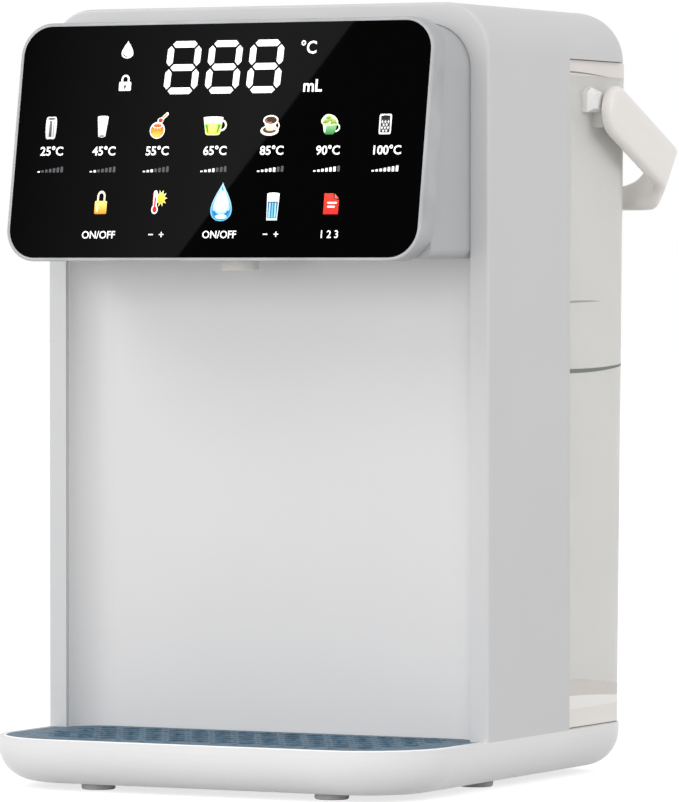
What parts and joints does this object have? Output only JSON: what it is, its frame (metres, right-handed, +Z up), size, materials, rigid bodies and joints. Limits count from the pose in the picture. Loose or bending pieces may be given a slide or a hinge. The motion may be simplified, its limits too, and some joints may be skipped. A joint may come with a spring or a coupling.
{
  "type": "instant hot water dispenser",
  "caption": "Countertop instant hot water dispenser with a tilted touch panel over a cup bay, a lift-out drip tray and a removable clear rear tank with a swinging handle.",
  "frame": {"origin": "middle of the whole object's footprint, on the plane that the feet stand on", "axes": "+X to the right seen from the front, +Y to the back, towards the tank, +Z up"},
  "size_m": [0.213, 0.2416, 0.311],
  "materials": {
    "base_white": "satin white moulded plastic",
    "body_grey": "satin light grey moulded plastic",
    "liner_white": "satin white moulded plastic",
    "head_grey": "satin grey moulded plastic",
    "bezel_silver": "silver grey painted frame",
    "panel_glass": "black back-printed touch glass",
    "display_white": "white seven-segment module",
    "display_black": "black light frame",
    "board_green": "green circuit board",
    "part_black": "black moulded components",
    "nylon_natural": "natural nylon mouldings",
    "silicone": "translucent silicone",
    "rubber_grey": "grey rubber",
    "steel": "stainless steel",
    "sink_aluminium": "bare aluminium",
    "grille_blue": "slate blue moulded plastic",
    "tank_clear": "clear moulded plastic",
    "tank_lid": "warm grey translucent plastic",
    "handle_white": "warm white moulded plastic"
  },
  "bodies": {
    "machine": {"base_shell": "base_white", "base_deck": "base_white", "feet": "rubber_grey", "base_screws": "steel", "cord_gland": "rubber_grey", "housing": "body_grey", "bay_liner": "liner_white", "rear_cover": "body_grey", "cover_screws": "steel", "head_shell": "head_grey", "bezel": "bezel_silver", "touch_glass": "panel_glass", "digit_display": "display_white", "light_frame": "display_black", "display_board": "board_green", "nozzle": "nylon_natural", "nozzle_gasket": "silicone", "dock_coupler": "nylon_natural", "inlet_tube": "silicone", "transfer_tube": "silicone", "outlet_tube": "silicone", "heater_tube": "steel", "heater_foot_cap": "nylon_natural", "heater_top_cap": "nylon_natural", "heater_brackets": "nylon_natural", "thermal_cutouts": "part_black", "temperature_probe": "steel", "pump_body": "nylon_natural", "pump_motor": "steel", "pump_cradle": "rubber_grey", "power_board": "board_green", "board_standoffs": "nylon_natural", "board_parts": "part_black", "heat_sink": "sink_aluminium"},
    "impeller": {"pump_impeller": "nylon_natural", "pump_shaft": "steel"},
    "basin": {"drip_basin": "grille_blue"},
    "grille": {"drip_grille": "grille_blue"},
    "tank": {"tank": "tank_clear", "tank_lid": "tank_lid", "lid_seal": "silicone", "valve_body": "nylon_natural", "nose_seal": "silicone", "valve_gasket": "silicone", "valve_poppet": "nylon_natural", "valve_spring": "steel", "strainer": "nylon_natural"},
    "handle": {"handle": "handle_white", "handle_pins": "steel"}
  },
  "joints": [
    {"name": "tank_slide", "type": "slide", "parent": "machine", "child": "tank", "axis": [0, 1, 0], "range_m": [0, 0.1]},
    {"name": "handle_swing", "type": "hinge", "parent": "tank", "child": "handle", "pos_m": [0, 0.05715, 0.2702], "axis": [1, 0, 0], "range_deg": [0, 135]},
    {"name": "basin_lift", "type": "slide", "parent": "machine", "child": "basin", "axis": [0, 0, 1], "range_m": [0, 0.04]},
    {"name": "grille_lift", "type": "slide", "parent": "basin", "child": "grille", "axis": [0, 0, 1], "range_m": [0, 0.03]},
    {"name": "impeller_spin", "type": "hinge", "parent": "machine", "child": "impeller", "pos_m": [0.02, -0.01185, 0.048], "axis": [1, 0, 0], "continuous": true}
  ]
}
